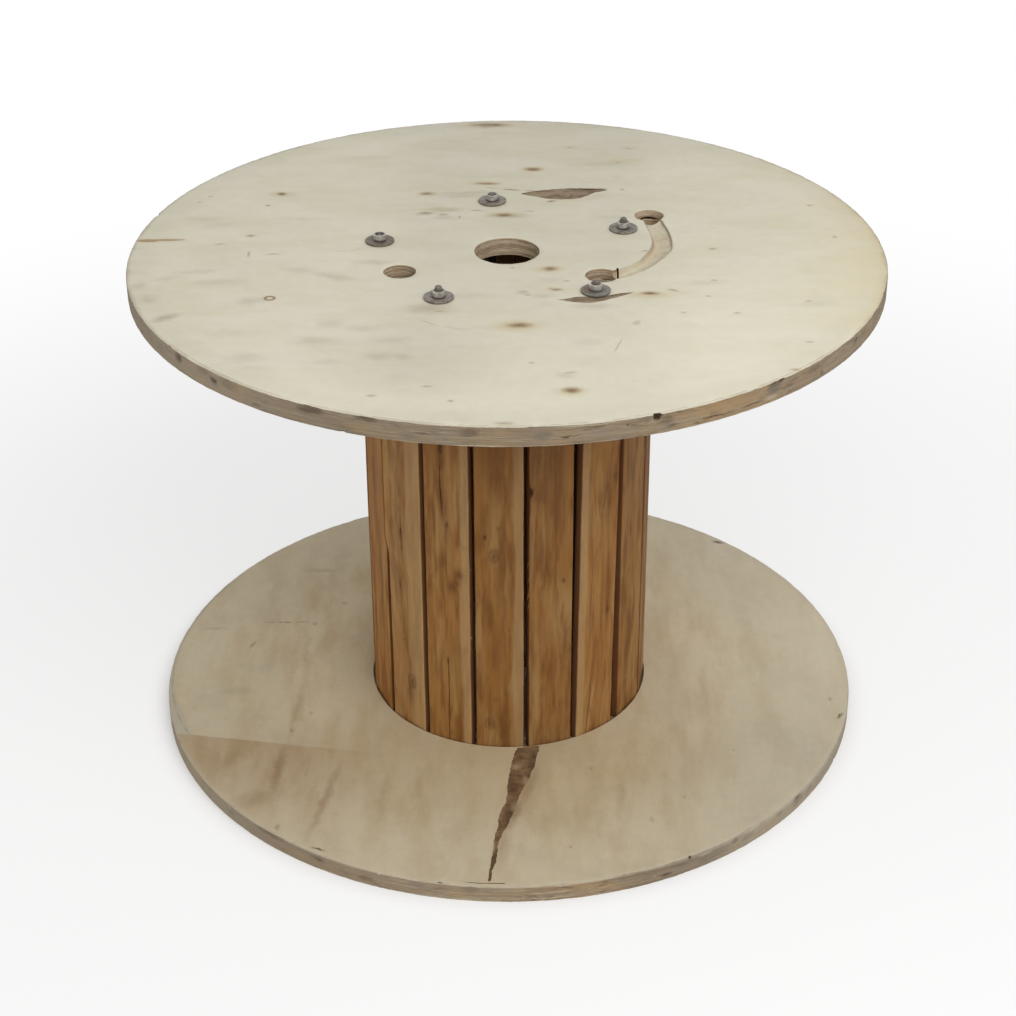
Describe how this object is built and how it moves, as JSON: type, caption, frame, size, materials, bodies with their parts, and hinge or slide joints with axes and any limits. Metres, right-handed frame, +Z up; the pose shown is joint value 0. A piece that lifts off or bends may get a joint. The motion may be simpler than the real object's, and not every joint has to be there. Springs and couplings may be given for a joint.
{
  "type": "wooden cable drum",
  "caption": "Wooden cable drum standing on its end: round plywood flanges, a barrel of upright staves, clamped by tie rods, with spindle, drive and cable holes.",
  "frame": {"origin": "centre of the bottom flange's underside, on the drum's axis", "axes": "+Z up along the drum's axis, -Y towards the side that the reference view looks at"},
  "size_m": [1.05, 1.05, 0.7437],
  "materials": {
    "plywood": "dry, pale, weathered plywood",
    "stave_wood": "planed softwood, dry",
    "zinc": "dull zinc plate",
    "dull_steel": "dull, partly rusty steel"
  },
  "bodies": {
    "root": {"top_flange": "plywood", "bottom_flange": "plywood", "stave_01": "stave_wood", "stave_02": "stave_wood", "stave_03": "stave_wood", "stave_04": "stave_wood", "stave_05": "stave_wood", "stave_06": "stave_wood", "stave_07": "stave_wood", "stave_08": "stave_wood", "stave_09": "stave_wood", "stave_10": "stave_wood", "stave_11": "stave_wood", "stave_12": "stave_wood", "stave_13": "stave_wood", "stave_14": "stave_wood", "stave_15": "stave_wood", "stave_16": "stave_wood", "stave_17": "stave_wood", "tie_rod_1": "dull_steel", "top_washer_1": "dull_steel", "bottom_washer_1": "dull_steel", "top_nut_1": "zinc", "bottom_nut_1": "zinc", "tie_rod_2": "dull_steel", "top_washer_2": "dull_steel", "bottom_washer_2": "dull_steel", "top_nut_2": "zinc", "bottom_nut_2": "zinc", "tie_rod_3": "dull_steel", "top_washer_3": "dull_steel", "bottom_washer_3": "dull_steel", "top_nut_3": "zinc", "bottom_nut_3": "zinc", "tie_rod_4": "dull_steel", "top_washer_4": "dull_steel", "bottom_washer_4": "dull_steel", "top_nut_4": "zinc", "bottom_nut_4": "zinc", "tie_rod_5": "dull_steel", "top_washer_5": "dull_steel", "bottom_washer_5": "dull_steel", "top_nut_5": "zinc", "bottom_nut_5": "zinc"}
  },
  "joints": []
}
